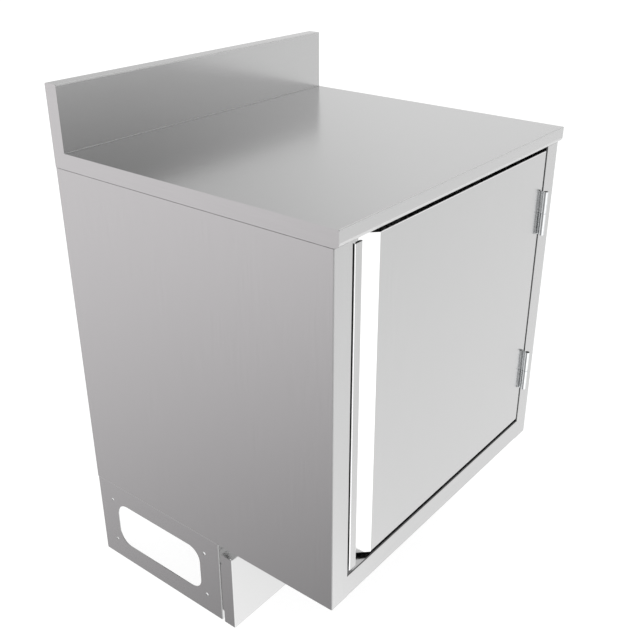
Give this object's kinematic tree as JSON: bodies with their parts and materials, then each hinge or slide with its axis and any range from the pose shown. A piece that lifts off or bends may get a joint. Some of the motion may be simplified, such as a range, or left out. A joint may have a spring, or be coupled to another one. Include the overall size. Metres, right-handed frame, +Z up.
{
  "type": "underbar storage cabinet",
  "caption": "Stainless underbar cabinet with a back splash, a rounded nosing, one inset door with a full-height finger groove and lift-off hinges, and a set-back open-backed base.",
  "frame": {"origin": "on the floor, under the middle of the overall width and depth", "axes": "+Z up, +X to the right of someone facing the door, +Y from the door to the back"},
  "size_m": [0.6096, 0.5443, 0.8636],
  "materials": {
    "stainless_sheet": "fine linear brushed stainless sheet",
    "chromed_hinge": "polished bright",
    "zinc_steel": "bright zinc plated steel",
    "catch_plastic": "matt moulded plastic",
    "black_nylon": "matt black moulded nylon"
  },
  "bodies": {
    "cabinet": {"worktop": "stainless_sheet", "worktop_left_end": "stainless_sheet", "worktop_right_end": "stainless_sheet", "front_deck_channel": "stainless_sheet", "rear_deck_channel": "stainless_sheet", "channel_screws": "zinc_steel", "left_side_panel": "stainless_sheet", "right_side_panel": "stainless_sheet", "back_panel": "stainless_sheet", "bottom_rail": "stainless_sheet", "cabinet_floor": "stainless_sheet", "shelf": "stainless_sheet", "left_shelf_ledge": "stainless_sheet", "right_shelf_ledge": "stainless_sheet", "base_left_side": "stainless_sheet", "base_right_side": "stainless_sheet", "base_bolts": "zinc_steel", "base_nuts": "zinc_steel", "kick_panel": "stainless_sheet", "kick_left_bracket": "stainless_sheet", "kick_right_bracket": "stainless_sheet", "kick_screws": "zinc_steel", "kick_nuts": "zinc_steel", "frame_tap_plates": "zinc_steel", "upper_hinge_frame_leaf": "chromed_hinge", "upper_hinge_pin": "chromed_hinge", "upper_hinge_washer": "zinc_steel", "lower_hinge_frame_leaf": "chromed_hinge", "lower_hinge_pin": "chromed_hinge", "lower_hinge_washer": "zinc_steel", "hinge_frame_screws": "chromed_hinge", "hinge_frame_caps": "black_nylon", "catch_bracket": "stainless_sheet", "catch_housing": "catch_plastic", "catch_poles": "zinc_steel", "catch_screws": "zinc_steel"},
    "door": {"door_front": "stainless_sheet", "door_back": "stainless_sheet", "door_stiffener": "stainless_sheet", "door_tap_plates": "zinc_steel", "upper_hinge_door_leaf": "chromed_hinge", "lower_hinge_door_leaf": "chromed_hinge", "hinge_door_screws": "chromed_hinge", "hinge_door_caps": "black_nylon", "strike_plate": "zinc_steel"}
  },
  "joints": [
    {"name": "door_hinge", "type": "hinge", "parent": "cabinet", "child": "door", "pos_m": [0.2651, -0.26775, 0.4706], "axis": [0, 0, 1], "range_deg": [0, 180]}
  ]
}
